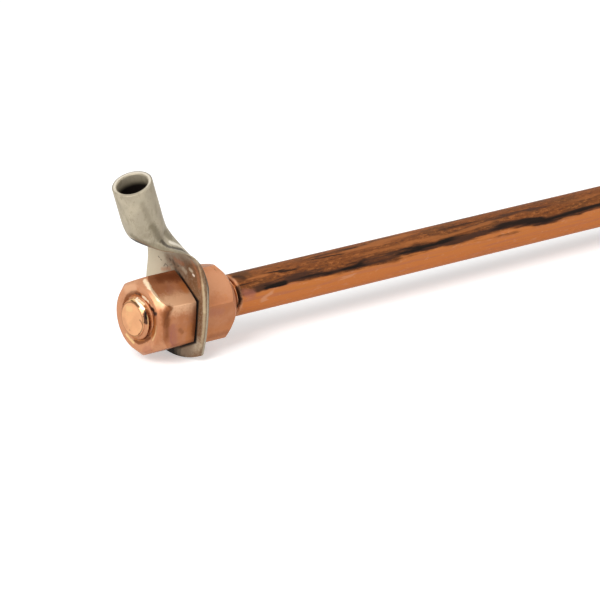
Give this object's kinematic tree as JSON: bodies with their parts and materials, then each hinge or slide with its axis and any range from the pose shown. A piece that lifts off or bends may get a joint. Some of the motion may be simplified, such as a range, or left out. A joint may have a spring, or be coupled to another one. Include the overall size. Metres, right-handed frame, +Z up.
{
  "type": "earth rod with clamp",
  "caption": "Copper earth rod with a threaded end, where a tinned cable lug is clamped between hexagon nuts.",
  "frame": {"origin": "centre of the struck end's flat face, on the rod's axis", "axes": "+X along the rod to its driving point, +Z up, with the lug's barrel standing up and leaning to -X"},
  "size_m": [1.2094, 0.0358, 0.0719],
  "materials": {
    "rod_copper": "tarnished copper, brown on top and brighter orange below",
    "nut_copper": "satin copper, handled",
    "lug_tin": "matte electro-tinned copper"
  },
  "bodies": {
    "rod": {"rod": "rod_copper"},
    "front_nut": {"front_nut": "nut_copper"},
    "back_nut": {"back_nut": "nut_copper"},
    "lug": {"lug": "lug_tin"}
  },
  "joints": [
    {"name": "lug_swivel", "type": "hinge", "parent": "rod", "child": "lug", "pos_m": [0.02055, 0, 0], "axis": [1, 0, 0], "continuous": true},
    {"name": "front_nut_travel", "type": "slide", "parent": "rod", "child": "front_nut", "axis": [-1, 0, 0], "range_m": [0, 0.01847]},
    {"name": "back_nut_travel", "type": "slide", "parent": "rod", "child": "back_nut", "axis": [1, 0, 0], "range_m": [0, 0.00462]}
  ]
}
